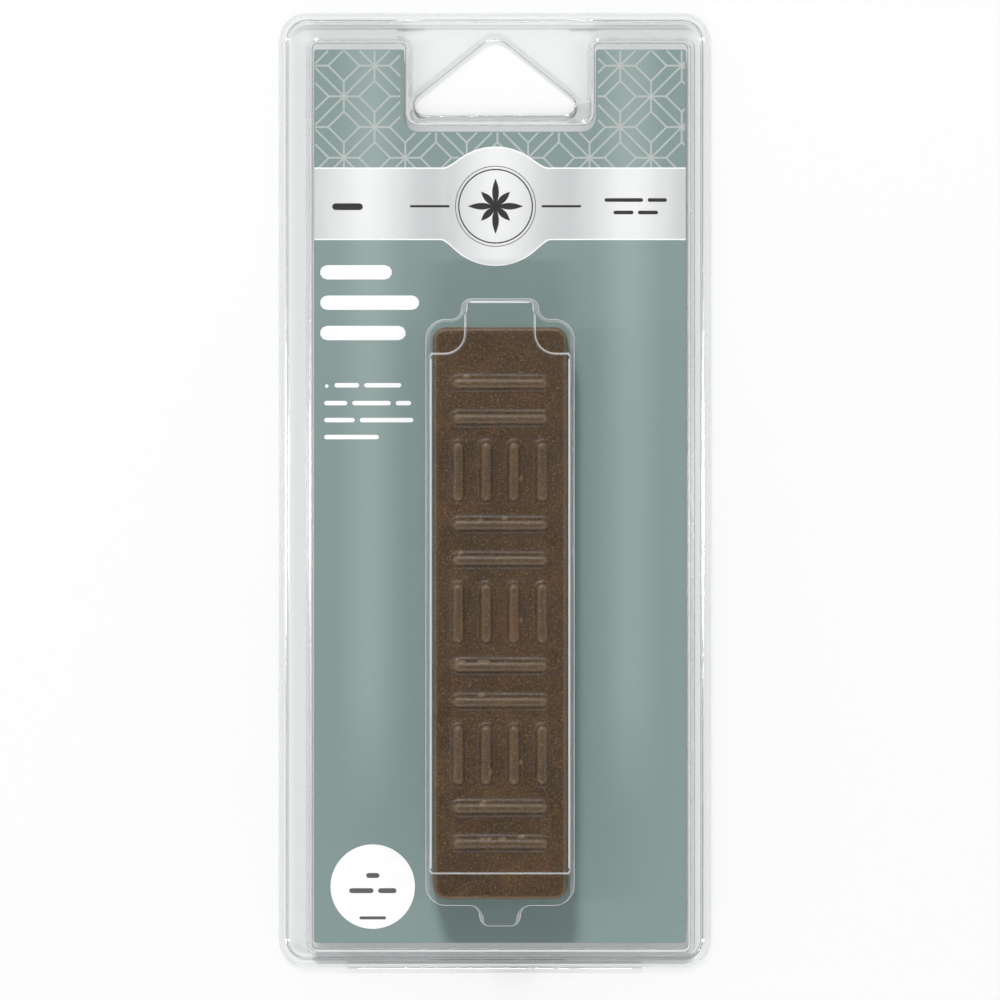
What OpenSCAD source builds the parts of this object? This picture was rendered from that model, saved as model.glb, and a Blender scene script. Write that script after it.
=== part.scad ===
// Furniture repair wax stick in its clear hinged hanging pack.
// The pack lies on its back: +Z comes out of the front, +Y runs to the hanging hole.
// The origin is under the middle of the pack, on the surface that it lies on.

/* [Pack] */
// Width of the whole pack
pack_w = 97.1; // [90:0.1:110]
// Distance from the stick's upper end to the pack's upper edge
head_room = 70.7; // [68:0.1:80]
// Distance from the stick's lower end to the pack's folded edge
foot_room = 16.4; // [16:0.1:20]
// Radius of the pack's corners in plan
pack_corner_r = 6.5; // [5:0.1:10]
// Thickness of the clear sheet
sheet_t = 0.5; // [0.4:0.05:0.6]
// Gap between the two sheets where they lie on each other
lay_gap = 0.1; // [0.05:0.05:0.2]

/* [Rim] */
// Flat brim outside the raised rim
rim_brim_w = 0.5; // [0.5:0.05:0.6]
// Height of the raised rim above the border
rim_h = 1.1; // [0.9:0.05:1.4]
// Width of the rim's flat top
rim_top_w = 0.9; // [0.8:0.05:1]
// How far the rim's outer side leans in
rim_outer_run = 0.3; // [0.25:0.05:0.35]
// How far the rim's inner side leans in
rim_inner_run = 0.5; // [0.3:0.05:0.5]
// Length of each of the two pips on the rim beside the hanging hole
rim_pip_l = 6; // [4:0.5:8]
// Radius of a rim pip
rim_pip_r = 0.35; // [0.3:0.05:0.4]
// Distance between the middles of the two rim pips
rim_pip_spacing = 38.6; // [34:0.1:44]

/* [Card panel] */
// Flat border on the left of the raised panel, from the pack's edge
border_left = 6.3; // [6:0.1:8]
// Flat border on the right of the raised panel
border_right = 3.9; // [3.5:0.1:6]
// Flat border above the raised panel
border_top = 5.7; // [5:0.1:8]
// Flat border below the raised panel, from the folded hinge
border_bottom = 3.4; // [3.4:0.1:5]
// How far the panel's wall leans in over its whole height
panel_run = 1.2; // [1.1:0.05:1.3]
// Radius of the foot of the panel's outer corners
panel_corner_r = 2.6; // [2.5:0.1:4]
// Inside bend radius of the sheet at the panel's wall
panel_bend_r = 0.35; // [0.2:0.05:0.4]
// Height that the back shell's plug stands above its border
plug_rise = 2; // [1.6:0.1:2.4]
// Gap between the plug's wall and the front shell's wall
nest_gap = 0.3; // [0.25:0.05:0.4]

/* [Hanging tab] */
// Width of the flat tab that cuts into the panel's top
tab_w = 39.4; // [38:0.1:46]
// Depth of the tab below the panel's top
tab_depth = 18.4; // [18:0.1:24]
// Radius of the foot of the tab's two inner corners
tab_corner_r = 1.4; // [1.2:0.1:2]
// Width of the three-cornered hole between its sharp lower corners
hole_base_w = 45.4; // [40:0.1:46]
// Height of the hole to its sharp upper corner
hole_h = 18.3; // [16:0.1:18.5]
// Radius of the hole's upper corner
hole_apex_r = 4.5; // [3:0.1:6]
// Radius of the hole's lower corners
hole_corner_r = 2.5; // [2:0.1:3]
// Land between the hole's lower edge and the panel's wall
hole_land = 0.9; // [0.7:0.1:1.5]

/* [Hinge] */
// Length of the living hinge along the pack's lower edge
hinge_w = 66; // [40:1:80]

/* [Card] */
// Thickness of the printed card
card_t = 0.5; // [0.3:0.05:0.7]
// Gap between the card's sides and the panel's wall
card_side_gap = 0.4; // [0.35:0.05:0.6]
// Gap between the card's ends and the panel's wall
card_end_gap = 1.4; // [0.5:0.1:1.6]
// Radius of the card's corners
card_corner_r = 0.6; // [0.3:0.1:1]
// Gap between the card and the front panel above it
card_lift_gap = 0.3; // [0.2:0.05:0.5]
// Thickness of the label
label_t = 0.1; // [0.05:0.05:0.15]

/* [Wax stick] */
// Width of the wax stick at its back
stick_w = 30.3; // [27:0.1:34]
// Length of the wax stick at its back
stick_l = 127.7; // [122:0.1:132]
// Thickness of the wax stick without its relief
stick_t = 13; // [10:0.1:15]
// Radius of the stick's upright corners
stick_corner_r = 3; // [2:0.1:4]
// Radius of the edge round the stick's face
stick_edge_r = 0.7; // [0.4:0.1:1]
// Height of the relief on the stick's face
relief_h = 1.3; // [1:0.1:1.5]
// Radius of the rounded relief strokes
relief_r = 1.57; // [1.5:0.01:1.8]
// Width over the relief
relief_w = 21.7; // [18:0.1:22]
// Distance between the middles of neighbouring relief motifs
relief_pitch = 15.7; // [15.4:0.1:16]

/* [Bubble] */
// Gap at its foot between the bubble and the stick's sides
bubble_side_gap = 1.4; // [1.35:0.05:1.8]
// Gap at its foot between the bubble and the stick's ends
bubble_end_gap = 1.7; // [1.6:0.05:2]
// Gap between the relief and the bubble's crown
crown_gap = 0.4; // [0.3:0.05:0.8]
// Gap between the stick's face and the bubble's lower steps
step_gap = 0.3; // [0.2:0.05:0.5]
// Radius of the bubble's upper edge
bubble_edge_r = 0.8; // [0.7:0.05:0.9]
// Length of the finger tab at the bubble's upper end
upper_tab_l = 4.6; // [4.4:0.1:5]
// Width of the upper finger tab
upper_tab_w = 17.2; // [14:0.1:18]
// Length of the small tab at the bubble's lower end
lower_tab_l = 4.6; // [4.4:0.1:5]
// Width of the small lower tab
lower_tab_w = 9; // [7:0.1:12]
// Width of the crown's tongue between the two upper steps
tongue_w = 15.2; // [12:0.1:16]
// Length of the two upper corner steps, from the stick's upper end
upper_step_l = 6.4; // [5:0.1:7]
// Radius of the inner corner of an upper step
upper_step_r = 4.7; // [3:0.1:5]
// Length of the lower step, from the stick's lower end
lower_step_l = 6.4; // [5:0.1:7]
// How far a step's wall leans back over its height
step_run = 0.3; // [0.2:0.05:0.4]

/* [Hidden] */
$fn = 64;

// How finely bends in a section, corners in a plan and round rods are stepped
bend_steps = 3;
plan_steps = 8;
rod_steps = 10;

// How far a cut runs past what it cuts
overrun = 1;
// Flat stretch of sheet that each swept section carries on
section_tail = 0.5;

// How much each wall leans in for each unit of height
bubble_draft_share = 0.07;
stick_draft_share = 0.03;

// The round label's diameter, its place across the room beside the bubble, and its height in diameters
label_room_share = 0.753;
label_place_share = 0.524;
label_rise_share = 0.667;

// Length of the whole pack, over the folded hinge, and the stick's upper end
pack_l = foot_room + stick_l + head_room;
stick_top_y = pack_l / 2 - head_room;

// Levels above the surface that the pack lies on
back_border_z = 0;
front_border_z = back_border_z + sheet_t + lay_gap;
front_border_top = front_border_z + sheet_t;
plug_top = back_border_z + sheet_t + plug_rise;
card_top = plug_top + card_t;
panel_z = card_top + card_lift_gap;
panel_top = panel_z + sheet_t;
stick_face = card_top + stick_t;
relief_top = stick_face + relief_h;
crown_top = relief_top + crown_gap + sheet_t;
step_top = stick_face + step_gap + sheet_t;

// The folded hinge is a half round of sheet, and both shells end on its axis
fold_r = sheet_t + lay_gap / 2;
hinge_y = -pack_l / 2 + fold_r;
hinge_z = back_border_z + fold_r;

// Plan of the raised panel at its foot
panel_left = -pack_w / 2 + border_left;
panel_right = pack_w / 2 - border_right;
panel_low = -pack_l / 2 + border_bottom;
panel_high = pack_l / 2 - border_top;
panel_mid_x = (panel_left + panel_right) / 2;
tab_low = panel_high - tab_depth;

// The panel's wall: its height, its lean and what that makes of the sheet's width in plan
panel_rise = panel_z - front_border_z;
panel_lean_share = panel_run / panel_rise;
sheet_in_plan = sheet_t * sqrt(1 + panel_lean_share * panel_lean_share);
nest_in_plan = nest_gap * sqrt(1 + panel_lean_share * panel_lean_share);
card_inset = panel_lean_share * (card_top - front_border_top) + sheet_in_plan + card_side_gap;
card_end_inset = card_inset + card_end_gap - card_side_gap;
card_left = panel_left + card_inset;
card_low = panel_low + card_end_inset;

// Plan of the wax stick
stick_x = panel_mid_x;
stick_low = stick_top_y - stick_l;
stick_mid_y = stick_top_y - stick_l / 2;
stick_core = stick_draft_share * stick_t + stick_edge_r + section_tail;

// Plan of the bubble at its foot
bubble_w = stick_w + 2 * bubble_side_gap;
bubble_high = stick_top_y + bubble_end_gap;
bubble_low = stick_low - bubble_end_gap;
bubble_bend_r = bubble_edge_r - sheet_t;
panel_mid_z = panel_z + sheet_t / 2;
crown_mid_z = crown_top - sheet_t / 2;
step_mid_z = step_top - sheet_t / 2;
bubble_crown_in = sheet_t / 2 + bubble_draft_share * (crown_mid_z - panel_mid_z);
bubble_tail = bubble_bend_r + section_tail;
bubble_tip_r = bubble_crown_in + bubble_tail + lay_gap;
bubble_corner_r = max(stick_corner_r + bubble_side_gap, bubble_tip_r);

// The round label lies between the card's left edge and the bubble
label_room = stick_x - bubble_w / 2 - card_left;
label_d = label_room_share * label_room;
label_x = card_left + label_place_share * label_room;
label_y = card_low + label_rise_share * label_d;

// Directions and turns in a plan
function way(a, b) = (b - a) / norm(b - a);
function left_of(d) = [-d[1], d[0]];
function turn_between(d, e) = atan2(d[0] * e[1] - d[1] * e[0], d * e);
function spot(corner) = [corner[0], corner[1]];

// A closed path is a list of corners, [x, y, radius], anticlockwise
function corner_at(path, i) = path[(i + len(path)) % len(path)];
function way_in(path, i) = way(spot(corner_at(path, i - 1)), spot(corner_at(path, i)));
function way_out(path, i) = way(spot(corner_at(path, i)), spot(corner_at(path, i + 1)));
function turn_at(path, i) = turn_between(way_in(path, i), way_out(path, i));
function tangent_at(path, i) = corner_at(path, i)[2] * tan(abs(turn_at(path, i)) / 2);
function arc_start(path, i) = spot(corner_at(path, i)) - way_in(path, i) * tangent_at(path, i);
function arc_end(path, i) = spot(corner_at(path, i)) + way_out(path, i) * tangent_at(path, i);
function arc_centre(path, i) =
    arc_start(path, i) + left_of(way_in(path, i)) * sign(turn_at(path, i)) * corner_at(path, i)[2];
function outward_angle(path, i) = atan2(-way_in(path, i)[0], way_in(path, i)[1]);

// The points of a path moved outward by grow, with its corners stepped
function plan_points(path, grow = 0) = [
    for (i = [0 : len(path) - 1], k = [0 : plan_steps])
        let (bend = turn_at(path, i))
        let (angle = outward_angle(path, i) + bend * k / plan_steps)
        let (reach = sign(bend) * corner_at(path, i)[2] + grow)
        arc_centre(path, i) + reach * [cos(angle), sin(angle)]
];

// One side of a bent sheet that follows a line of points, left for side 1 and right for side -1
function sheet_side(line, bend_r, side) = [
    for (i = [0 : len(line) - 1])
        let (d = i == 0 ? way(line[0], line[1]) : way(line[i - 1], line[i]))
        let (e = i == len(line) - 1 ? d : way(line[i], line[i + 1]))
        let (bend = turn_between(d, e))
        let (r = bend_r + sheet_t / 2)
        let (centre = line[i] - d * r * tan(abs(bend) / 2) + left_of(d) * sign(bend) * r)
        let (reach = sheet_t / 2 * side - sign(bend) * r)
        let (start = atan2(left_of(d)[1], left_of(d)[0]))
        for (k = bend == 0 ? [0] : [0 : bend_steps])
            let (angle = start + bend * k / bend_steps)
            bend == 0
                ? line[i] + left_of(d) * side * sheet_t / 2
                : centre + reach * [cos(angle), sin(angle)]
];
function reversed(list) = [for (i = [len(list) - 1 : -1 : 0]) list[i]];
function sheet_section(line, bend_r) =
    concat(sheet_side(line, bend_r, 1), reversed(sheet_side(line, bend_r, -1)));

// A quarter round from its low outer end to its high inner end
function edge_round(centre, r) = [
    for (k = [0 : bend_steps])
        let (angle = 90 * k / bend_steps)
        centre + r * [cos(angle), sin(angle)]
];

// Carries a section, outward along its x, round one corner of a path
module corner_run(path, i) {
    bend = turn_at(path, i);
    centre = arc_centre(path, i);
    r = corner_at(path, i)[2];
    translate([centre[0], centre[1], 0])
    if (bend > 0)
        rotate(outward_angle(path, i))
        rotate_extrude(angle = bend)
        translate([r, 0])
        children();
    else
        rotate(outward_angle(path, i) + 180 + bend)
        rotate_extrude(angle = -bend)
        translate([r, 0])
        mirror([1, 0])
        children();
}

// Carries a section along the straight from one corner of a path to the next
module straight_run(path, i) {
    start = arc_end(path, i);
    finish = arc_start(path, i + 1);
    translate([finish[0], finish[1], 0])
    rotate([90, 0, outward_angle(path, i + 1)])
    linear_extrude(norm(finish - start))
    children();
}

module sweep(path) {
    for (i = [0 : len(path) - 1]) {
        corner_run(path, i) children();
        straight_run(path, i) children();
    }
}

// A flat plate with the plan of one path, less that of another
module plate(path, grow, z, hole_path, hole_grow) {
    translate([0, 0, z])
    linear_extrude(sheet_t)
    difference() {
        polygon(plan_points(path, grow));
        polygon(plan_points(hole_path, hole_grow));
    }
}

// A block on a path whose sides lean in and whose upper edge is rounded
module drafted_block(path, low, high, draft_share, edge_r, core) {
    lean = draft_share * (high - edge_r - low);
    translate([0, 0, low])
    linear_extrude(high - low)
    polygon(plan_points(path, section_tail / 2 - core));
    sweep(path)
    polygon(concat(
        [[-core, low], [0, low]],
        edge_round([-lean - edge_r, high - edge_r], edge_r),
        [[-core, high]]
    ));
}

// Plans
outline_path = [
    [-pack_w / 2, hinge_y, pack_corner_r],
    [pack_w / 2, hinge_y, pack_corner_r],
    [pack_w / 2, pack_l / 2, pack_corner_r],
    [-pack_w / 2, pack_l / 2, pack_corner_r]
];

// The panel's plan moved in by sides and by ends, with the hanging tab cut out of its top
function panel_path(side_in, end_in, corner_r, tab_r) = [
    [panel_left + side_in, panel_low + end_in, corner_r],
    [panel_right - side_in, panel_low + end_in, corner_r],
    [panel_right - side_in, panel_high - end_in, corner_r],
    [panel_mid_x + tab_w / 2 + side_in, panel_high - end_in, corner_r],
    [panel_mid_x + tab_w / 2 + side_in, tab_low - end_in, tab_r],
    [panel_mid_x - tab_w / 2 - side_in, tab_low - end_in, tab_r],
    [panel_mid_x - tab_w / 2 - side_in, panel_high - end_in, corner_r],
    [panel_left + side_in, panel_high - end_in, corner_r]
];
panel_foot = panel_path(0, 0, panel_corner_r, tab_corner_r);
card_plan = panel_path(card_inset, card_end_inset, card_corner_r, tab_corner_r + card_inset);

hole_low = tab_low + hole_land;
hole_path = [
    [-hole_base_w / 2, hole_low, hole_corner_r],
    [hole_base_w / 2, hole_low, hole_corner_r],
    [0, hole_low + hole_h, hole_apex_r]
];

stick_path = [
    [stick_x - stick_w / 2, stick_low, stick_corner_r],
    [stick_x + stick_w / 2, stick_low, stick_corner_r],
    [stick_x + stick_w / 2, stick_top_y, stick_corner_r],
    [stick_x - stick_w / 2, stick_top_y, stick_corner_r]
];

// The corners of a tab on a straight edge, in the order in which the path meets them
function tab_corners(edge_y, length, tab_width, way_y) = [
    for (k = [[1, 0], [1, 1], [-1, 1], [-1, 0]]) [
        stick_x + way_y * k[0] * tab_width / 2,
        edge_y + way_y * k[1] * length,
        k[1] == 1 ? bubble_tip_r : length - bubble_tip_r - lay_gap
    ]
];
bubble_path = concat(
    [[stick_x - bubble_w / 2, bubble_low, bubble_corner_r]],
    tab_corners(bubble_low, lower_tab_l, lower_tab_w, -1),
    [
        [stick_x + bubble_w / 2, bubble_low, bubble_corner_r],
        [stick_x + bubble_w / 2, bubble_high, bubble_corner_r]
    ],
    tab_corners(bubble_high, upper_tab_l, upper_tab_w, 1),
    [[stick_x - bubble_w / 2, bubble_high, bubble_corner_r]]
);

// Plan of the space over one upper step, on the right for hand 1 and on the left for hand -1
function upper_step_path(hand) =
    let (inner = stick_x + hand * tongue_w / 2)
    let (outer = stick_x + hand * bubble_w)
    let (low = stick_top_y - upper_step_l)
    let (high = bubble_high + 2 * upper_tab_l)
    let (corners = [
        [inner, low, upper_step_r],
        [outer, low, upper_step_r],
        [outer, high, upper_step_r],
        [inner, high, upper_step_r]
    ])
    hand > 0 ? corners : reversed(corners);

// Plan of the space over the lower step
lower_step_path = [
    [stick_x - bubble_w, bubble_low - 2 * lower_tab_l, upper_step_r],
    [stick_x + bubble_w, bubble_low - 2 * lower_tab_l, upper_step_r],
    [stick_x + bubble_w, stick_low + lower_step_l, upper_step_r],
    [stick_x - bubble_w, stick_low + lower_step_l, upper_step_r]
];

// Line of the sheet's middle from the panel up the bubble's wall to its crown
bubble_line = [
    [bubble_tail - sheet_t / 2, panel_mid_z],
    [-sheet_t / 2, panel_mid_z],
    [-bubble_crown_in, crown_mid_z],
    [-bubble_crown_in - bubble_tail, crown_mid_z]
];

// Line of the sheet's middle from a step up to the crown
step_line = [
    [-bubble_tail, step_mid_z],
    [0, step_mid_z],
    [step_run, crown_mid_z],
    [step_run + bubble_tail, crown_mid_z]
];

// A step's floor and wall, trimmed to end within the bubble's own wall
module step_sheet(path) {
    intersection() {
        union() {
            sweep(path) polygon(sheet_section(step_line, bubble_bend_r));
            translate([0, 0, step_top - sheet_t])
            linear_extrude(sheet_t)
            polygon(plan_points(path, section_tail / 2 - bubble_tail));
        }
        translate([0, 0, panel_top])
        linear_extrude(crown_top)
        polygon(plan_points(bubble_path, -sheet_t / 2 - bubble_draft_share * (step_mid_z - panel_mid_z)));
    }
}

// The thin bubble over the stick, with its two upper steps and its lower step
module bubble() {
    step_paths = [upper_step_path(1), upper_step_path(-1), lower_step_path];
    difference() {
        union() {
            sweep(bubble_path) polygon(sheet_section(bubble_line, bubble_bend_r));
            translate([0, 0, crown_top - sheet_t])
            linear_extrude(sheet_t)
            polygon(plan_points(bubble_path, section_tail / 2 - bubble_crown_in - bubble_tail));
        }
        for (path = step_paths)
            translate([0, 0, step_mid_z])
            linear_extrude(crown_top)
            polygon(plan_points(path, step_run / 2));
    }
    for (path = step_paths)
        step_sheet(path);
}

// Line of the sheet's middle across the front shell's rim
rim_line =
    let (z = front_border_z + sheet_t / 2)
    let (lean_in = rim_brim_w + rim_outer_run)
    let (down_out = lean_in + rim_top_w)
    [
        [0, z],
        [-rim_brim_w, z],
        [-lean_in, z + rim_h],
        [-down_out, z + rim_h],
        [-down_out - rim_inner_run, z],
        [-down_out - rim_inner_run - section_tail, z]
    ];
rim_w = rim_brim_w + rim_outer_run + rim_top_w + rim_inner_run;
rim_bend_r = panel_bend_r / 2;

// Line of the sheet's middle up the wall of the front shell's panel
panel_line =
    let (low = front_border_z + sheet_t / 2)
    let (high = panel_z + sheet_t / 2)
    [[section_tail, low], [0, low], [-panel_run, high], [-panel_run - section_tail, high]];

// Line of the sheet's middle up the wall of the back shell's plug
plug_foot_x = panel_lean_share * (front_border_z - back_border_z) - sheet_in_plan - nest_in_plan;
plug_head_x = plug_foot_x - panel_lean_share * plug_rise;
plug_line =
    let (low = back_border_z + sheet_t / 2)
    let (high = low + plug_rise)
    [[plug_foot_x + section_tail, low], [plug_foot_x, low], [plug_head_x, high], [plug_head_x - section_tail, high]];

module hanging_hole() {
    translate([0, 0, back_border_z - overrun])
    linear_extrude(front_border_top + 2 * overrun)
    polygon(plan_points(hole_path));
}

// A round-ended rod along X, turned from the outline of one half
module rod(half_l, r) {
    rotate([0, 90, 0])
    rotate_extrude()
    polygon(concat(
        [[0, -half_l - r]],
        [
            for (k = [1 : rod_steps - 1])
                let (angle = 180 * k / rod_steps)
                [r * sin(angle), -r * cos(angle) + (angle > 90 ? half_l : -half_l)]
        ],
        [[0, half_l + r]]
    ));
}

module front_shell() {
    color([0.82, 0.9, 0.92, 0.35])
    difference() {
        union() {
            sweep(outline_path) polygon(sheet_section(rim_line, rim_bend_r));
            plate(outline_path, -rim_w - section_tail / 2, front_border_z, panel_foot, section_tail / 2);
            sweep(panel_foot) polygon(sheet_section(panel_line, panel_bend_r));
            plate(panel_foot, -panel_run - section_tail / 2, panel_z, bubble_path, bubble_tail - section_tail);
            bubble();
            for (hand = [-1, 1])
                translate([
                    hand * rim_pip_spacing / 2,
                    pack_l / 2 - rim_w + rim_inner_run,
                    front_border_top + rim_h
                ])
                rod(rim_pip_l / 2 - rim_pip_r, rim_pip_r);
        }
        hanging_hole();
    }
}

module back_shell() {
    color([0.8, 0.88, 0.9, 0.35])
    difference() {
        union() {
            plate(outline_path, 0, back_border_z, panel_foot, plug_foot_x + section_tail / 2);
            sweep(panel_foot) polygon(sheet_section(plug_line, panel_bend_r));
            translate([0, 0, plug_top - sheet_t])
            linear_extrude(sheet_t)
            polygon(plan_points(panel_foot, plug_head_x - section_tail / 2));
        }
        hanging_hole();
    }
}

// The folded strip that joins the two shells along the pack's lower edge
module living_hinge() {
    color([0.85, 0.92, 0.94, 0.5])
    translate([-hinge_w / 2, hinge_y, hinge_z])
    rotate([90, 0, 90])
    linear_extrude(hinge_w)
    difference() {
        circle(r = fold_r);
        circle(r = lay_gap / 2);
        translate([0, -fold_r - overrun])
        square(2 * (fold_r + overrun));
    }
}

module printed_card() {
    color([0.51, 0.59, 0.57])
    translate([0, 0, plug_top])
    linear_extrude(card_t)
    polygon(plan_points(card_plan));
}

module shade_label() {
    color([0.97, 0.97, 0.96])
    translate([label_x, label_y, card_top])
    cylinder(d = label_d, h = label_t);
}

// Basket weave relief: its strokes are round ribs sunk in the stick's face
relief_count = 7;
relief_rod_z = relief_top - relief_r;
relief_half_w = relief_w / 2 - relief_r;
long_rib_spacing_share = 0.5;
short_rib_count = 4;
short_rib_end_share = 1.6;

// Two raised ribs across the whole relief
module long_ribs() {
    for (side = [-1, 1])
        translate([0, side * long_rib_spacing_share * relief_pitch / 2, 0])
        rod(relief_half_w, relief_r);
}

// A row of short raised ribs along the stick
module short_ribs() {
    for (i = [0 : short_rib_count - 1])
        translate([(2 * i / (short_rib_count - 1) - 1) * relief_half_w, 0, 0])
        rotate([0, 0, 90])
        rod(relief_pitch / 2 - short_rib_end_share * relief_r, relief_r);
}

module wax_stick() {
    color([0.33, 0.26, 0.2])
    union() {
        drafted_block(stick_path, card_top, stick_face, stick_draft_share, stick_edge_r, stick_core);
        for (i = [0 : relief_count - 1])
            translate([stick_x, stick_mid_y + (i - (relief_count - 1) / 2) * relief_pitch, relief_rod_z])
            if (i % 2 == 0)
                long_ribs();
            else
                short_ribs();
    }
}

back_shell();
front_shell();
living_hinge();
printed_card();
shade_label();
wax_stick();
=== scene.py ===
import math

import bmesh
import bpy
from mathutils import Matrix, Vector


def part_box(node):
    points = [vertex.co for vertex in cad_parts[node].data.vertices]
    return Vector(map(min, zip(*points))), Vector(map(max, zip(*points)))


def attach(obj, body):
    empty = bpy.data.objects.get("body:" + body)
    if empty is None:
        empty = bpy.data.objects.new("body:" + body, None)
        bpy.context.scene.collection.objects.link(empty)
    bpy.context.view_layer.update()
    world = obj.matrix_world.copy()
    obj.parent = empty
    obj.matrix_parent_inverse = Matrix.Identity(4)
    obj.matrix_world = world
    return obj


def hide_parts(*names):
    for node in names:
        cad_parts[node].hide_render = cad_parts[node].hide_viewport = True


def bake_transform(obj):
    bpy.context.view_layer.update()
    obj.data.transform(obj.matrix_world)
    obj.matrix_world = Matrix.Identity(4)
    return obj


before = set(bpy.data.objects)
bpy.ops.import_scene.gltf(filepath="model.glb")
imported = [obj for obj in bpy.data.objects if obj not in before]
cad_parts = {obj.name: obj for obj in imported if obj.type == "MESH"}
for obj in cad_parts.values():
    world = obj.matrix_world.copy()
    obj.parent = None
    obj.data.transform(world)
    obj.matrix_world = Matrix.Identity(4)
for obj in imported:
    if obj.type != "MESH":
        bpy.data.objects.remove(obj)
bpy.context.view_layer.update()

MM = 0.001
BACK = "back_half"
FRONT = "front_half"

# Camera, from straight in front, far enough to flatten the perspective
CAMERA_MIDDLE = (1.2, -2.0)
CAMERA_SPAN = 224.0
CAMERA_DISTANCE = 1300.0
CAMERA_SENSOR = 36.0

# Levels of the prints on the card, each a little above the one below
CARD_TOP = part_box("printed_card")[1][2] / MM
LABEL_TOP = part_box("shade_label")[1][2] / MM
INK = 0.02
LAYER = 0.003
FOIL_Z = CARD_TOP + INK
RULE_Z = FOIL_Z + INK


def srgb(red, green, blue):
    """A colour written in the steps of a screen, as the linear colour that a shader takes."""
    out = []
    for step in (red, green, blue):
        share = step / 255
        out.append(share / 12.92 if share <= 0.04045 else ((share + 0.055) / 1.055) ** 2.4)
    return (*out, 1.0)


# Soft upright bands of painted sheen, lighter colour laid into the print, by their middles and half widths,
# and where those on the card fade out
CARD_PAINTED_SHEEN = (-27.9, 30.1)
CARD_PAINTED_SHEEN_HALF = 9.0
CARD_FADE_LOW = -74.0
CARD_FADE_HIGH = -46.0
FOIL_PAINTED_SHEEN = (-28.8, 0.9, 30.3)
FOIL_PAINTED_SHEEN_HALF = 14.8

# How milky each clear sheet is where it lies flat
BACK_HAZE = 0.2
FRONT_HAZE = 0.004
FOLD_HAZE = 0.12
CUT_HAZE = 0.3

# How deep the fine unevenness of each surface is
SHEET_RIPPLE = 0.6
BOARD_TOOTH = 0.04
INK_TOOTH = 0.03
WAX_PITS = 0.16


# Materials
class Nodes:
    """A material's node tree, with short calls to add and join nodes."""

    def __init__(self, name):
        self.material = bpy.data.materials.new(name)
        self.material.use_nodes = True
        self.tree = self.material.node_tree
        self.tree.nodes.clear()
        self.output = self.add("ShaderNodeOutputMaterial")

    def add(self, kind, **settings):
        """A new node of some kind, with its settings."""
        node = self.tree.nodes.new(kind)
        for key, value in settings.items():
            setattr(node, key, value)
        return node

    def join(self, source, target):
        """Links one socket to another."""
        self.tree.links.new(source, target)

    def put(self, socket, value):
        """Sets a socket to a value, or joins it to another node's socket."""
        if isinstance(value, bpy.types.NodeSocket):
            self.join(value, socket)
        else:
            socket.default_value = value

    def place(self):
        """Where a point is on the object, in metres."""
        return self.add("ShaderNodeTexCoord").outputs["Object"]

    def axes(self):
        """The same place as three numbers."""
        split = self.add("ShaderNodeSeparateXYZ")
        self.join(self.place(), split.inputs[0])
        return split.outputs

    def maths(self, operation, first, second=0.0, clamp=False):
        """A sum or comparison of two values."""
        node = self.add("ShaderNodeMath", operation=operation, use_clamp=clamp)
        self.put(node.inputs[0], first)
        self.put(node.inputs[1], second)
        return node.outputs[0]

    def noise(self, scale, detail=3.0, roughness=0.5, stretch=(1, 1, 1)):
        """Cloudy unevenness, with about so many spots a metre as the scale says."""
        mapping = self.add("ShaderNodeMapping")
        self.join(self.place(), mapping.inputs["Vector"])
        mapping.inputs["Scale"].default_value = stretch
        node = self.add("ShaderNodeTexNoise")
        self.join(mapping.outputs[0], node.inputs["Vector"])
        node.inputs["Scale"].default_value = scale
        node.inputs["Detail"].default_value = detail
        node.inputs["Roughness"].default_value = roughness
        return node.outputs["Fac"]

    def span(self, value, low, high, to_low=0.0, to_high=1.0):
        """Moves a value from one range to another, and keeps it in the second."""
        node = self.add("ShaderNodeMapRange")
        self.put(node.inputs["Value"], value)
        node.inputs["From Min"].default_value = low
        node.inputs["From Max"].default_value = high
        node.inputs["To Min"].default_value = to_low
        node.inputs["To Max"].default_value = to_high
        return node.outputs[0]

    def blend(self, share, first, second):
        """One colour where the share is 0 and another where it is 1."""
        node = self.add("ShaderNodeMix", data_type="RGBA", blend_type="MIX")
        self.put(node.inputs["Factor"], share)
        self.put(node.inputs[6], first)
        self.put(node.inputs[7], second)
        return node.outputs[2]

    def bump(self, height, strength, depth):
        """A surface made uneven by a height, with its depth in millimetres."""
        node = self.add("ShaderNodeBump")
        self.join(height, node.inputs["Height"])
        node.inputs["Strength"].default_value = strength
        node.inputs["Distance"].default_value = depth * MM
        return node.outputs[0]

    def principled(self, colour, roughness, normal=None, **sockets):
        """The common surface shader, with further sockets by name."""
        node = self.add("ShaderNodeBsdfPrincipled")
        self.put(node.inputs["Base Color"], colour)
        self.put(node.inputs["Roughness"], roughness)
        if normal is not None:
            self.join(normal, node.inputs["Normal"])
        for name, value in sockets.items():
            node.inputs[name.replace("_", " ")].default_value = value
        return node.outputs[0]

    def mixed(self, share, first, second):
        """One shader where the share is 0 and another where it is 1."""
        node = self.add("ShaderNodeMixShader")
        self.put(node.inputs[0], share)
        self.join(first, node.inputs[1])
        self.join(second, node.inputs[2])
        return node.outputs[0]

    def end(self, shader):
        """Joins the last shader to the output, and gives the finished material."""
        self.join(shader, self.output.inputs["Surface"])
        return self.material


def seen_share(tree):
    """1 for what the camera, a reflection or a clear surface shows, and 0 for what lights the object."""
    path = tree.nodes.new("ShaderNodeLightPath")
    total = path.outputs["Is Camera Ray"]
    for name in ("Is Glossy Ray", "Is Transmission Ray"):
        node = tree.nodes.new("ShaderNodeMath")
        node.operation = "MAXIMUM"
        tree.links.new(total, node.inputs[0])
        tree.links.new(path.outputs[name], node.inputs[1])
        total = node.outputs[0]
    return total


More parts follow.
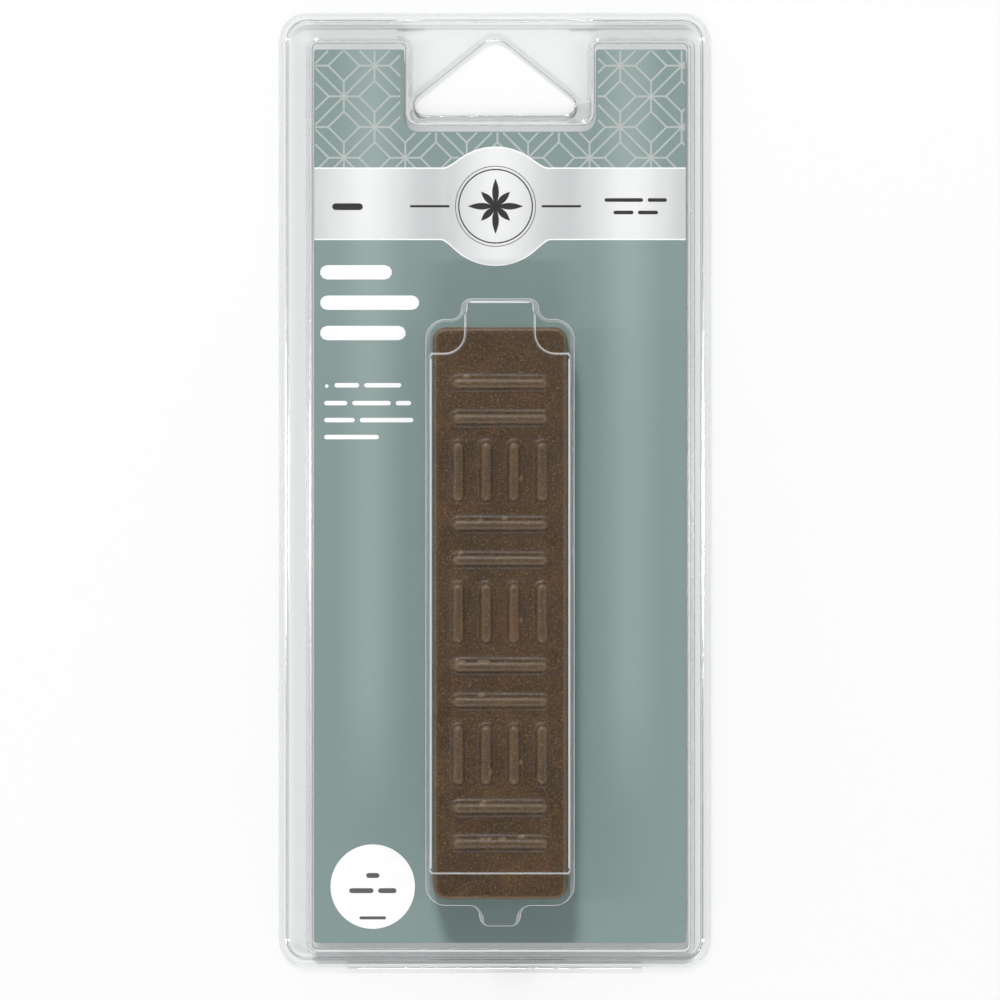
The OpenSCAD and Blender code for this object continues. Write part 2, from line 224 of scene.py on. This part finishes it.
def clear_sheet(name, haze):
    """Thin clear sheet: seen through, bright in its bends, milky where one looks along its walls.

    Only the faces turned to the viewer act, and light on its way to the card passes almost unchanged.
    """
    nodes = Nodes(name)
    split = nodes.add("ShaderNodeSeparateXYZ")
    nodes.join(nodes.add("ShaderNodeTexCoord").outputs["Normal"], split.inputs[0])
    tilt = nodes.maths("SUBTRACT", 1.0, nodes.maths("ABSOLUTE", split.outputs[2]))
    steep = nodes.span(tilt, 0.15, 0.6)
    ripple = nodes.noise(38.0, 2.0)
    scuff = nodes.noise(700.0, 3.0)
    cloud = nodes.noise(140.0, 3.0, 0.6)
    normal = nodes.bump(ripple, 0.08, SHEET_RIPPLE)
    through = nodes.add("ShaderNodeBsdfTransparent")
    nodes.join(nodes.blend(steep, srgb(255, 255, 255), srgb(249, 251, 251)), through.inputs[0])
    cloudy = nodes.principled(srgb(244, 249, 250), nodes.span(scuff, 0.3, 0.8, 0.1, 0.3), normal, IOR=1.45)
    glow = nodes.add("ShaderNodeBsdfTranslucent")
    glow.inputs["Color"].default_value = srgb(244, 249, 250)
    body = nodes.mixed(0.5, cloudy, glow.outputs[0])
    gloss = nodes.add("ShaderNodeBsdfGlossy")
    nodes.join(nodes.span(scuff, 0.3, 0.8, 0.05, 0.12), gloss.inputs["Roughness"])
    nodes.join(normal, gloss.inputs["Normal"])
    fresnel = nodes.add("ShaderNodeFresnel")
    fresnel.inputs["IOR"].default_value = 1.25
    nodes.join(normal, fresnel.inputs["Normal"])
    seen = seen_share(nodes.tree)
    facing = nodes.add("ShaderNodeLayerWeight")
    facing.inputs["Blend"].default_value = 0.5
    along = nodes.span(facing.outputs["Facing"], 0.25, 0.8, 0.05, 1.0)
    bends = nodes.maths("MULTIPLY", nodes.span(tilt, 0.01, 0.15), nodes.span(tilt, 0.4, 0.9, 0.85, 0.0))
    glancing = nodes.maths("MULTIPLY", fresnel.outputs[0], nodes.span(steep, 0.0, 1.0, 1.0, 0.25))
    shine = nodes.maths("MAXIMUM", glancing, nodes.maths("MULTIPLY", bends, seen))
    patchy = nodes.span(cloud, 0.3, 0.7, 0.7, 0.9)
    most = nodes.maths("MULTIPLY", patchy, nodes.span(seen, 0.0, 1.0, 0.2, 1.0))
    veil = nodes.maths("MULTIPLY", nodes.maths("MULTIPLY", steep, along), most)
    milky = nodes.mixed(nodes.maths("ADD", veil, haze), through.outputs[0], body)
    outer = nodes.mixed(shine, milky, gloss.outputs[0])
    inside = nodes.add("ShaderNodeNewGeometry").outputs["Backfacing"]
    plain = nodes.add("ShaderNodeBsdfTransparent")
    return nodes.end(nodes.mixed(inside, outer, plain.outputs[0]))


def painted_sheen_bands(nodes, middles, half_width):
    """A share that is 1 in the middle of each soft upright band of painted sheen and 0 between them."""
    x = nodes.axes()[0]
    total = None
    for middle in middles:
        away = nodes.maths("ABSOLUTE", nodes.maths("SUBTRACT", x, middle * MM))
        share = nodes.add("ShaderNodeMapRange", interpolation_type="SMOOTHSTEP")
        nodes.join(away, share.inputs["Value"])
        share.inputs["From Min"].default_value = half_width * MM
        share.inputs["From Max"].default_value = 0.0
        band = share.outputs[0]
        total = band if total is None else nodes.maths("ADD", total, band, clamp=True)
    return total


def card_print():
    """Teal print on the card's face with soft lighter upright bands of painted sheen laid into its colour as
    part of the print, and bare board on its edges and back.
    """
    nodes = Nodes("card_teal")
    grain = nodes.noise(2600.0, 2.0)
    cloud = nodes.noise(18.0, 2.0, 0.5, (1, 0.3, 1))
    fade = nodes.span(nodes.axes()[1], CARD_FADE_LOW * MM, CARD_FADE_HIGH * MM)
    bands = nodes.maths("MULTIPLY", painted_sheen_bands(nodes, CARD_PAINTED_SHEEN, CARD_PAINTED_SHEEN_HALF), fade)
    # Lighter upright bands: painted sheen of the metallised board, laid into the print colour
    base = nodes.blend(bands, srgb(127, 146, 144), srgb(146, 163, 160))
    base = nodes.blend(nodes.span(cloud, 0.3, 0.7, 0.0, 0.2), base, srgb(136, 155, 152))
    base = nodes.blend(nodes.span(grain, 0.35, 0.65, 0.0, 0.1), base, srgb(112, 133, 130))
    up = nodes.add("ShaderNodeSeparateXYZ")
    nodes.join(nodes.add("ShaderNodeNewGeometry").outputs["True Normal"], up.inputs[0])
    printed = nodes.maths("GREATER_THAN", up.outputs[2], 0.5)
    colour = nodes.blend(printed, srgb(232, 230, 224), base)
    normal = nodes.bump(grain, 0.12, BOARD_TOOTH)
    return nodes.end(nodes.principled(colour, nodes.span(grain, 0.3, 0.7, 0.36, 0.46), normal))


def foil():
    """Silver foil with brushed streaks, and lighter upright bands of painted shine laid into its colour that
    change from left to right.
    """
    nodes = Nodes("foil_silver")
    bands = painted_sheen_bands(nodes, FOIL_PAINTED_SHEEN, FOIL_PAINTED_SHEEN_HALF)
    streak = nodes.noise(420.0, 3.0, 0.6, (1, 0.06, 1))
    cross = nodes.noise(1500.0, 2.0)
    # Lighter upright bands: painted shine laid into the foil's colour
    base = nodes.blend(bands, srgb(212, 213, 214), srgb(252, 253, 253))
    base = nodes.blend(nodes.span(streak, 0.3, 0.7, 0.0, 0.12), base, srgb(226, 228, 230))
    normal = nodes.bump(cross, 0.06, INK_TOOTH)
    return nodes.end(nodes.principled(base, nodes.span(streak, 0.3, 0.7, 0.3, 0.4), normal, Metallic=0.25))


def ink(name, colour, roughness, spread):
    """A plain printed ink that lies unevenly on the board's fine tooth."""
    nodes = Nodes(name)
    tooth = nodes.noise(3000.0, 2.0)
    uneven = nodes.noise(260.0, 3.0)
    darker = tuple(c * (1 - spread) for c in colour[:3]) + (1.0,)
    base = nodes.blend(nodes.span(uneven, 0.35, 0.7, 0.0, 1.0), colour, darker)
    normal = nodes.bump(tooth, 0.1, INK_TOOTH)
    return nodes.end(nodes.principled(base, roughness, normal))


def label_paper():
    """White matt paper with fibres and a hint of cloudiness."""
    nodes = Nodes("label_paper")
    fibre = nodes.noise(1800.0, 4.0, 0.65, (1, 0.4, 1))
    cloud = nodes.noise(150.0, 2.0)
    base = nodes.blend(nodes.span(cloud, 0.3, 0.7, 0.0, 1.0), srgb(252, 252, 252), srgb(244, 245, 245))
    normal = nodes.bump(fibre, 0.15, BOARD_TOOTH)
    return nodes.end(nodes.principled(base, nodes.span(fibre, 0.3, 0.7, 0.6, 0.75), normal))


def wax():
    """Dark brown filler wax: pale specks, pits, rusty patches, convex edges lightened by a painted highlight
    that is partly wear, creases darkened by painted shade, and a waxy skin.
    """
    nodes = Nodes("wax_brown")
    cloud = nodes.noise(70.0, 4.0, 0.6)
    patch = nodes.noise(190.0, 3.0, 0.6, (1, 0.6, 1))
    speck = nodes.noise(2300.0, 2.0, 0.7)
    pits = nodes.noise(1700.0, 3.0, 0.7)
    curvature = nodes.add("ShaderNodeNewGeometry").outputs["Pointiness"]
    base = nodes.blend(nodes.span(cloud, 0.35, 0.65), srgb(56, 35, 11), srgb(72, 50, 22))
    base = nodes.blend(nodes.span(patch, 0.54, 0.68, 0.0, 0.35), base, srgb(96, 60, 26))
    base = nodes.blend(nodes.span(speck, 0.52, 0.72, 0.0, 0.75), base, srgb(118, 97, 64))
    base = nodes.blend(nodes.span(pits, 0.34, 0.5, 0.85, 0.0), base, srgb(36, 25, 13))
    # Convex edges lighter: painted highlight that sharpens the relief, partly rubbed wear
    base = nodes.blend(nodes.span(curvature, 0.505, 0.55, 0.0, 0.5), base, srgb(134, 112, 84))
    # Concave creases darker: painted shade
    base = nodes.blend(nodes.span(curvature, 0.43, 0.495, 0.9, 0.0), base, srgb(26, 17, 8))
    height = nodes.maths("ADD", nodes.maths("MULTIPLY", speck, 0.6), nodes.maths("MULTIPLY", pits, 0.4))
    normal = nodes.bump(height, 0.6, WAX_PITS)
    skin = nodes.span(nodes.noise(240.0, 3.0), 0.3, 0.7, 0.42, 0.54)
    rough = nodes.maths("MAXIMUM", skin, nodes.span(curvature, 0.46, 0.498, 0.95, 0.0))
    return nodes.end(nodes.principled(base, rough, normal, Specular_IOR_Level=0.5))


# Mesh helpers
def mesh_from(build, name, smooth=False):
    """Turns what was built into a mesh."""
    mesh = bpy.data.meshes.new(name)
    build.to_mesh(mesh)
    build.free()
    for polygon in mesh.polygons:
        polygon.use_smooth = smooth
    return mesh


def new_piece(name, mesh, material, body):
    """A mesh object that takes its material from here and moves with a body of the part."""
    piece = bpy.data.objects.new(name, mesh)
    bpy.context.collection.objects.link(piece)
    mesh.materials.clear()
    mesh.materials.append(material)
    if body:
        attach(piece, body)
    return piece


def add_prism(mesh, outline, low, high):
    """Adds a flat plate with an outline in millimetres between two levels."""
    bottom = [mesh.verts.new((x * MM, y * MM, low * MM)) for x, y in outline]
    top = [mesh.verts.new((x * MM, y * MM, high * MM)) for x, y in outline]
    mesh.faces.new(top)
    mesh.faces.new(list(reversed(bottom)))
    for i in range(len(outline)):
        j = (i + 1) % len(outline)
        mesh.faces.new((bottom[i], bottom[j], top[j], top[i]))


def prisms(name, outlines, low, high, material):
    """A flat print of many outlines, which lies on the back half's card."""
    build = bmesh.new()
    for outline in outlines:
        add_prism(build, outline, low, high)
    new_piece(name, mesh_from(build, name), material, BACK)


def strip(a, b, width):
    """The outline of a straight line of some width from a to b."""
    along = Vector((b[0] - a[0], b[1] - a[1])).normalized()
    side = Vector((-along[1], along[0])) * width / 2
    corners = [Vector(a) - side, Vector(b) - side, Vector(b) + side, Vector(a) + side]
    return [tuple(c) for c in corners]


def bar(left, right, middle, height, steps=5):
    """The outline of a level bar with round ends."""
    radius = height / 2
    points = []
    for centre, turn in ((right - radius, -90), (left + radius, 90)):
        for k in range(steps + 1):
            angle = math.radians(turn + 180 * k / steps)
            points.append((centre + radius * math.cos(angle), middle + radius * math.sin(angle)))
    return points


def ring(centre, radius, width, steps=72):
    """The quads of a flat ring."""
    out = []
    for k in range(steps):
        quad = []
        for step, reach in ((k, radius), (k + 1, radius), (k + 1, radius + width), (k, radius + width)):
            angle = 2 * math.pi * step / steps
            quad.append((centre[0] + reach * math.cos(angle), centre[1] + reach * math.sin(angle)))
        out.append(list(reversed(quad)))
    return out


def between(a, b, share):
    """The point at a share of the way from a to b."""
    return a[0] + (b[0] - a[0]) * share, a[1] + (b[1] - a[1]) * share


def clipped(a, b, box):
    """The stretch of the line from a to b that lies in a box, or None."""
    no_run = 1e-9
    no_stretch = 1e-6
    start, finish = 0.0, 1.0
    for axis in (0, 1):
        run = b[axis] - a[axis]
        low, high = box[axis]
        if abs(run) < no_run:
            if not low <= a[axis] <= high:
                return None
            continue
        near, far = sorted(((low - a[axis]) / run, (high - a[axis]) / run))
        start, finish = max(start, near), min(finish, far)
    if finish - start < no_stretch:
        return None
    return between(a, b, start), between(a, b, finish)


# The card's print: the notch round the hanging tab, the foil band with its seal, and the lattice above it
CARD_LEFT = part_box("printed_card")[0][0] / MM
CARD_RIGHT, CARD_HIGH = (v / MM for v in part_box("printed_card")[1][:2])
PRINT_EDGE = 0.05
NOTCH = (-20.9, 22.9)
NOTCH_LOW = 80.3
BAND_LOW = 56.5
BAND_HIGH = 72.2
SEAL_MIDDLE = (0.2, 63.8)
SEAL_R = 13.1
LATTICE_PITCH = 13.76
LATTICE_START = (-26.9, 95.3)
LATTICE_LINE = 0.42
LATTICE_LAP = 1.0
LATTICE_COLUMNS = range(-4, 12)
LATTICE_ROWS = range(-6, 4)
DIAMOND_HALF = 3.5

# The rounded corner where the foil band swells, and the pale rule round the band
BAND_FILLET = 2.4
FOIL_EDGE = 0.28

# The ornament in the band: petals, two round rules and a level rule on either hand
PETALS = 8
PETAL_LONG = 6.2
PETAL_SHORT = 4.6
PETAL_WIDTH = 1.5
RULE_RADII = ((8.1, 0.28), (8.9, 0.14))
SIDE_RULE_NEAR = 10.3
SIDE_RULE_FAR = 19.2
SIDE_RULE_HEIGHT = 0.5

# Lines of print, each by its left end, right end, level and the shares of its words
BAND_LARGE = ((-36.4, -29.5, 63.7, (1.0,)),)
BAND_LARGE_HEIGHT = 1.5
BAND_SMALL = ((24.6, 38.6, 65.2, (2.0, 1.0)), (26.6, 36.6, 62.4, (1.0, 1.0)))
BAND_SMALL_HEIGHT = 0.8
BAND_GAP = 1.0
TITLE_LEFT = -39.1
TITLE_RIGHTS = (-23.0, -16.9, -19.9)
TITLE_TOP = 49.0
TITLE_PITCH = 6.8
TITLE_HEIGHT = 3.2
BULLET = (-38.0, -37.2, 23.5, 0.8)
BODY_HEIGHT = 1.0
BODY_GAP = 1.1
BODY_LINES = (
    (-35.9, -20.9, 23.7, (4.0, 6.0)),
    (-38.2, -18.7, 19.7, (3.0, 5.0, 2.0)),
    (-38.2, -18.2, 15.9, (4.0, 7.0)),
    (-38.2, -25.9, 12.1, (1.0,)),
)

# The label's lines, each by its half width and its level above the label's middle
LABEL_HEIGHT = 1.1
LABEL_GAP = 1.0
LABEL_NUMBER = (1.5, 2.5)
LABEL_NAME = (5.3, -0.9)
LABEL_NAME_SHARES = (4.0, 3.0)
LABEL_FOOT = (3.0, -7.0)
LABEL_FOOT_HEIGHT = 0.7

# The sheet's thickness, and the level at which the front half's border begins
SHEET = 0.5
FRONT_BORDER = 0.6

# The hanging hole's three corners, each with its radius
HOLE_LOW = 84.2
HOLE_HEIGHT = 18.3
HOLE_HALF = 22.7
HOLE_LOW_R = 2.5
HOLE_PEAK_R = 4.5
HOLE_CORNERS = (
    (-HOLE_HALF, HOLE_LOW, HOLE_LOW_R),
    (HOLE_HALF, HOLE_LOW, HOLE_LOW_R),
    (0.0, HOLE_LOW + HOLE_HEIGHT, HOLE_PEAK_R),
)


def lattice_lines():
    """A common star lattice: slanted squares, a smaller square in each, and rays that join their corners."""
    half = LATTICE_PITCH / 2
    lines = []
    for column in LATTICE_COLUMNS:
        for row in LATTICE_ROWS:
            if (column + row) % 2:
                continue
            x = LATTICE_START[0] + half * column
            y = LATTICE_START[1] + half * row
            lines.append(((x, y), (x + half, y + half)))
            lines.append(((x, y), (x + half, y - half)))
            middle = x + half
            right = (middle + DIAMOND_HALF, y)
            left = (middle - DIAMOND_HALF, y)
            high = (middle, y + DIAMOND_HALF)
            low = (middle, y - DIAMOND_HALF)
            lines += [(left, high), (high, right), (right, low), (low, left)]
            lines += [((x, y), left), (right, (x + 2 * half, y))]
            lines += [((middle, y + half), high), (low, (middle, y - half))]
    return lines


def lattice_outlines():
    """The lattice's strips in four groups by direction, so that each can have a level of its own."""
    edge = PRINT_EDGE + LATTICE_LINE / 2
    boxes = [
        ((CARD_LEFT + edge, NOTCH[0] - edge), (NOTCH_LOW, CARD_HIGH - edge)),
        ((NOTCH[1] + edge, CARD_RIGHT - edge), (NOTCH_LOW, CARD_HIGH - edge)),
        ((CARD_LEFT + edge, CARD_RIGHT - edge), (BAND_HIGH - LATTICE_LAP, NOTCH_LOW)),
    ]
    groups = [[], [], [], []]
    for a, b in lattice_lines():
        turn = round(math.degrees(math.atan2(b[1] - a[1], b[0] - a[0])) / 45) % 4
        for box in boxes:
            line = clipped(a, b, box)
            if line:
                groups[turn].append(strip(line[0], line[1], LATTICE_LINE))
    return groups


def soft_max(a, b, width):
    """The larger of two numbers, rounded off where they are alike."""
    share = max(width - abs(a - b), 0.0) / width
    return max(a, b) + share * share * width / 4


def band_outline(grow):
    """The foil band, which swells round the seal in its middle."""
    steps = 180
    middle = (BAND_LOW + BAND_HIGH) / 2
    upper, lower = [], []
    for k in range(steps + 1):
        x = CARD_LEFT + PRINT_EDGE + (CARD_RIGHT - CARD_LEFT - 2 * PRINT_EDGE) * k / steps
        away = x - SEAL_MIDDLE[0]
        inside = (SEAL_R + grow) ** 2 - away * away
        reach = math.sqrt(inside) if inside > 0 else -math.sqrt(-inside)
        high = soft_max(BAND_HIGH + grow - middle, reach + SEAL_MIDDLE[1] - middle, BAND_FILLET)
        low = soft_max(middle - BAND_LOW + grow, reach - SEAL_MIDDLE[1] + middle, BAND_FILLET)
        upper.append((x, middle + high))
        lower.append((x, middle - low))
    return lower + list(reversed(upper))


def petal(centre, angle, length, width, steps=10):
    """The outline of a pointed petal."""
    along = Vector((math.cos(angle), math.sin(angle)))
    side = Vector((-along[1], along[0]))
    right, left = [], []
    for k in range(steps + 1):
        share = k / steps
        swell = width / 2 * math.sin(math.pi * share)
        spot = Vector(centre) + along * length * share
        right.append(tuple(spot - side * swell))
        left.append(tuple(spot + side * swell))
    return right + list(reversed(left[1:-1]))


def rosette_outlines():
    """A plain eight-petalled rosette between two rules, a common ornament."""
    outlines = []
    for k in range(PETALS):
        length = PETAL_LONG if k % 2 == 0 else PETAL_SHORT
        outlines.append(petal(SEAL_MIDDLE, 2 * math.pi * k / PETALS, length, PETAL_WIDTH))
    for radius, width in RULE_RADII:
        outlines += ring(SEAL_MIDDLE, radius, width)
    for hand in (-1, 1):
        near, far = SEAL_MIDDLE[0] + hand * SIDE_RULE_NEAR, SEAL_MIDDLE[0] + hand * SIDE_RULE_FAR
        outlines.append(bar(min(near, far), max(near, far), SEAL_MIDDLE[1], SIDE_RULE_HEIGHT))
    return outlines


def words(left, right, middle, height, shares, gap):
    """A line of print stood for by bars, as long as words are."""
    room = right - left - gap * (len(shares) - 1)
    out = []
    x = left
    for share in shares:
        length = room * share / sum(shares)
        out.append(bar(x, x + length, middle, height))
        x += length + gap
    return out


def lines_of_words(lines, height, gap):
    """Several lines of print."""
    out = []
    for left, right, middle, shares in lines:
        out += words(left, right, middle, height, shares, gap)
    return out


def dress_card():
    """The card's lattice, its foil band with the ornament, and its lines of print."""
    silver = ink("ink_silver", srgb(180, 186, 184), 0.3, 0.06)
    for turn, group in enumerate(lattice_outlines()):
        prisms(f"card_lattice_{turn}", group, CARD_TOP, CARD_TOP + INK / 2 + turn * LAYER, silver)
    pale = ink("ink_edge", srgb(250, 251, 251), 0.4, 0.03)
    prisms("foil_edge", [band_outline(FOIL_EDGE)], CARD_TOP, FOIL_Z + INK / 2, pale)
    prisms("foil_band", [band_outline(0.0)], FOIL_Z + INK / 2, RULE_Z, foil())
    dark = ink("ink_dark", srgb(46, 46, 48), 0.4, 0.1)
    prisms("seal_rosette", rosette_outlines(), RULE_Z, RULE_Z + INK, dark)
    small = lines_of_words(BAND_LARGE, BAND_LARGE_HEIGHT, BAND_GAP)
    small += lines_of_words(BAND_SMALL, BAND_SMALL_HEIGHT, BAND_GAP)
    prisms("band_bars", small, RULE_Z, RULE_Z + INK, dark)
    white = ink("ink_white", srgb(250, 251, 251), 0.45, 0.02)
    title = []
    for line, right in enumerate(TITLE_RIGHTS):
        title.append(bar(TITLE_LEFT, right, TITLE_TOP - line * TITLE_PITCH, TITLE_HEIGHT))
    prisms("title_bars", title, CARD_TOP, CARD_TOP + INK, white)
    body = [bar(*BULLET)] + lines_of_words(BODY_LINES, BODY_HEIGHT, BODY_GAP)
    prisms("body_bars", body, CARD_TOP, CARD_TOP + INK, white)


def dress_label():
    """The label's lines of print, each as wide on the left of its middle as on the right."""
    grey = ink("ink_label", srgb(92, 92, 94), 0.5, 0.08)
    low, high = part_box("shade_label")
    x, y = ((low[k] + high[k]) / 2 / MM for k in (0, 1))
    half, level = LABEL_NUMBER
    marks = [bar(x - half, x + half, y + level, LABEL_HEIGHT)]
    half, level = LABEL_NAME
    marks += words(x - half, x + half, y + level, LABEL_HEIGHT, LABEL_NAME_SHARES, LABEL_GAP)
    half, level = LABEL_FOOT
    marks += [bar(x - half, x + half, y + level, LABEL_FOOT_HEIGHT)]
    prisms("label_bars", marks, LABEL_TOP, LABEL_TOP + INK, grey)


# The wax stick, whose creases are melted by remeshing in small cells and smoothing a few times
WAX_CELL = 0.37
WAX_ROUNDS = 5


def softened(node, cell, rounds, name):
    """A copy of a node whose creases are melted into soft fillets."""
    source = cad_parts[node]
    work = bpy.data.objects.new(name + "_work", source.data.copy())
    bpy.context.collection.objects.link(work)
    remesh = work.modifiers.new("remesh", "REMESH")
    remesh.mode = "VOXEL"
    remesh.voxel_size = cell * MM
    smooth = work.modifiers.new("smooth", "SMOOTH")
    smooth.factor = 0.5
    smooth.iterations = rounds
    bpy.context.view_layer.update()
    depsgraph = bpy.context.evaluated_depsgraph_get()
    mesh = bpy.data.meshes.new_from_object(work.evaluated_get(depsgraph))
    mesh.name = name
    bpy.data.objects.remove(work)
    for polygon in mesh.polygons:
        polygon.use_smooth = True
    return mesh


def dress_stick():
    """The wax block with soft fillets, shown instead of the sharp one."""
    mesh = softened("wax_stick", WAX_CELL, WAX_ROUNDS, "wax_block")
    piece = new_piece("wax_block", mesh, wax(), BACK)
    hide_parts("wax_stick")


# The living hinge, cut into rings round its fold and into columns along it
HINGE_RINGS = 16
HINGE_COLUMNS = 24


def dress_hinge(material):
    """The folded strip, with rings round the fold and columns along it, shown instead of the frame's hinge.
    """
    low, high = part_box("living_hinge")
    left, right = low[0], high[0]
    axis_y, axis_z = high[1], (low[2] + high[2]) / 2
    outer = axis_y - low[1]
    inner = outer - SHEET * MM
    build = bmesh.new()
    grid = []
    for column in range(HINGE_COLUMNS + 1):
        x = left + (right - left) * column / HINGE_COLUMNS
        loop = []
        for k in range(HINGE_RINGS + 1):
            angle = math.radians(-90 - 180 * k / HINGE_RINGS)
            pair = []
            for reach in (outer, inner):
                y, z = axis_y + reach * math.cos(angle), axis_z + reach * math.sin(angle)
                pair.append(build.verts.new((x, y, z)))
            loop.append(pair)
        grid.append(loop)
    for column in range(HINGE_COLUMNS):
        here, there = grid[column], grid[column + 1]
        for k in range(HINGE_RINGS):
            build.faces.new((here[k][0], here[k + 1][0], there[k + 1][0], there[k][0]))
            build.faces.new((here[k][1], there[k][1], there[k + 1][1], here[k + 1][1]))
        for k, flip in ((0, False), (HINGE_RINGS, True)):
            quad = (here[k][0], there[k][0], there[k][1], here[k][1])
            build.faces.new(tuple(reversed(quad)) if flip else quad)
    for loop, flip in ((grid[0], False), (grid[-1], True)):
        for k in range(HINGE_RINGS):
            quad = (loop[k][0], loop[k][1], loop[k + 1][1], loop[k + 1][0])
            build.faces.new(tuple(reversed(quad)) if flip else quad)
    bmesh.ops.recalc_face_normals(build, faces=build.faces)
    mesh = mesh_from(build, "fold_strip", smooth=True)
    piece = new_piece("fold_strip", mesh, material, None)
    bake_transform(piece)
    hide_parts("living_hinge")


# The cut edge of the hanging hole
def rounded_corners(corners, steps=8):
    """The points of a closed path, anticlockwise, of which each corner has a radius."""
    points = []
    for i, (x, y, radius) in enumerate(corners):
        here = Vector((x, y))
        back = (Vector(corners[i - 1][:2]) - here).normalized()
        ahead = (Vector(corners[(i + 1) % len(corners)][:2]) - here).normalized()
        half = back.angle(ahead) / 2
        centre = here + (back + ahead).normalized() * radius / math.sin(half)
        start = math.atan2(*reversed(here + back * radius / math.tan(half) - centre))
        for k in range(steps + 1):
            angle = start + (math.pi - 2 * half) * k / steps
            points.append(centre + radius * Vector((math.cos(angle), math.sin(angle))))
    return points


def bead(name, points, level, radius, material, body, sides=10):
    """A round bead along a closed path."""
    build = bmesh.new()
    loops = []
    for i, point in enumerate(points):
        along = (points[(i + 1) % len(points)] - points[i - 1]).normalized()
        out = Vector((along[1], -along[0]))
        loop = []
        for k in range(sides):
            angle = 2 * math.pi * k / sides
            spot = point + out * radius * math.cos(angle)
            height = level + radius * math.sin(angle)
            loop.append(build.verts.new((spot[0] * MM, spot[1] * MM, height * MM)))
        loops.append(loop)
    for i, loop in enumerate(loops):
        after = loops[(i + 1) % len(loops)]
        for k in range(sides):
            m = (k + 1) % sides
            build.faces.new((loop[k], after[k], after[m], loop[m]))
    bmesh.ops.recalc_face_normals(build, faces=build.faces)
    new_piece(name, mesh_from(build, name, smooth=True), material, body)


def dress_hole(material):
    """The rounded edge that the die leaves on each sheet round the hanging hole."""
    points = rounded_corners(HOLE_CORNERS)
    bead("hole_edge_back", points, SHEET / 2, SHEET / 2 - INK, material, BACK)
    bead("hole_edge_front", points, FRONT_BORDER + SHEET / 2, SHEET / 2 - INK, material, FRONT)


def repaint(node, material):
    """Gives a node of the frame one material."""
    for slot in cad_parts[node].material_slots:
        slot.material = material


# The studio's lamps, each with its place in millimetres, its size in metres and its power in watts
LAMPS = {
    "key": ((-600, 2650, 2950), (0.6, 0.6), 109.0),
    "left": ((-2300, 0, 1900), (0.1, 1.6), 12.0),
    "right": ((2300, 0, 1900), (0.1, 1.6), 9.0),
    "low": ((0, -2300, 1900), (1.6, 0.1), 28.0),
}

# The floor's half width in metres, and in millimetres its drop below the part and the camera's reach
FLOOR_SIZE = 3.0
FLOOR_DROP = 0.1
CAMERA_REACH = (50.0, 10000.0)


def area_lamp(name, place, size, power):
    """A white rectangular lamp aimed at the middle of the part."""
    data = bpy.data.lights.new(name, "AREA")
    data.shape = "RECTANGLE"
    data.size, data.size_y = size
    data.energy = power
    lamp = bpy.data.objects.new(name, data)
    bpy.context.collection.objects.link(lamp)
    lamp.location = Vector(place) * MM
    lamp.rotation_euler = (-lamp.location).to_track_quat("-Z", "Y").to_euler()


def pale_world():
    """A world that is white round about and darker overhead, and lights the part less than it shows."""
    world = bpy.data.worlds.new("studio")
    world.use_nodes = True
    tree = world.node_tree
    background = tree.nodes["Background"]
    split = tree.nodes.new("ShaderNodeSeparateXYZ")
    tree.links.new(tree.nodes.new("ShaderNodeTexCoord").outputs["Generated"], split.inputs[0])
    ceiling = tree.nodes.new("ShaderNodeMapRange")
    tree.links.new(split.outputs[2], ceiling.inputs["Value"])
    ceiling.inputs["From Min"].default_value = 0.35
    ceiling.inputs["From Max"].default_value = 0.85
    ceiling.inputs["To Min"].default_value = 1.0
    ceiling.inputs["To Max"].default_value = 0.1
    tree.links.new(ceiling.outputs[0], background.inputs["Color"])
    strength = tree.nodes.new("ShaderNodeMapRange")
    tree.links.new(seen_share(tree), strength.inputs["Value"])
    strength.inputs["To Min"].default_value = 0.8
    strength.inputs["To Max"].default_value = 1.0
    tree.links.new(strength.outputs[0], background.inputs["Strength"])
    return world


def pale_floor():
    """A plain pale floor just below the part."""
    build = bmesh.new()
    bmesh.ops.create_grid(build, x_segments=1, y_segments=1, size=FLOOR_SIZE)
    mesh = mesh_from(build, "floor")
    floor = bpy.data.objects.new("floor", mesh)
    bpy.context.collection.objects.link(floor)
    floor.location.z = -FLOOR_DROP * MM
    nodes = Nodes("floor_white")
    mesh.materials.append(nodes.end(nodes.principled(srgb(235, 235, 235), 0.9, Specular_IOR_Level=0.0)))


def front_camera():
    """The camera, straight in front of the pack's face."""
    data = bpy.data.cameras.new("camera")
    data.sensor_width = CAMERA_SENSOR
    data.lens = CAMERA_SENSOR * CAMERA_DISTANCE / CAMERA_SPAN
    camera = bpy.data.objects.new("camera", data)
    bpy.context.collection.objects.link(camera)
    camera.location = Vector((*CAMERA_MIDDLE, CARD_TOP + CAMERA_DISTANCE)) * MM
    data.clip_start, data.clip_end = (reach * MM for reach in CAMERA_REACH)
    return camera


def studio():
    """World, lamps, floor and camera."""
    scene = bpy.context.scene
    scene.view_settings.view_transform = "Standard"
    scene.world = pale_world()
    for name, (place, size, power) in LAMPS.items():
        area_lamp(name, place, size, power)
    pale_floor()
    scene.camera = front_camera()


repaint("back_shell", clear_sheet("sheet_back", BACK_HAZE))
repaint("front_shell", clear_sheet("sheet_front", FRONT_HAZE))
repaint("printed_card", card_print())
repaint("shade_label", label_paper())
dress_card()
dress_label()
dress_stick()
dress_hinge(clear_sheet("sheet_fold", FOLD_HAZE))
dress_hole(clear_sheet("sheet_cut", CUT_HAZE))
studio()
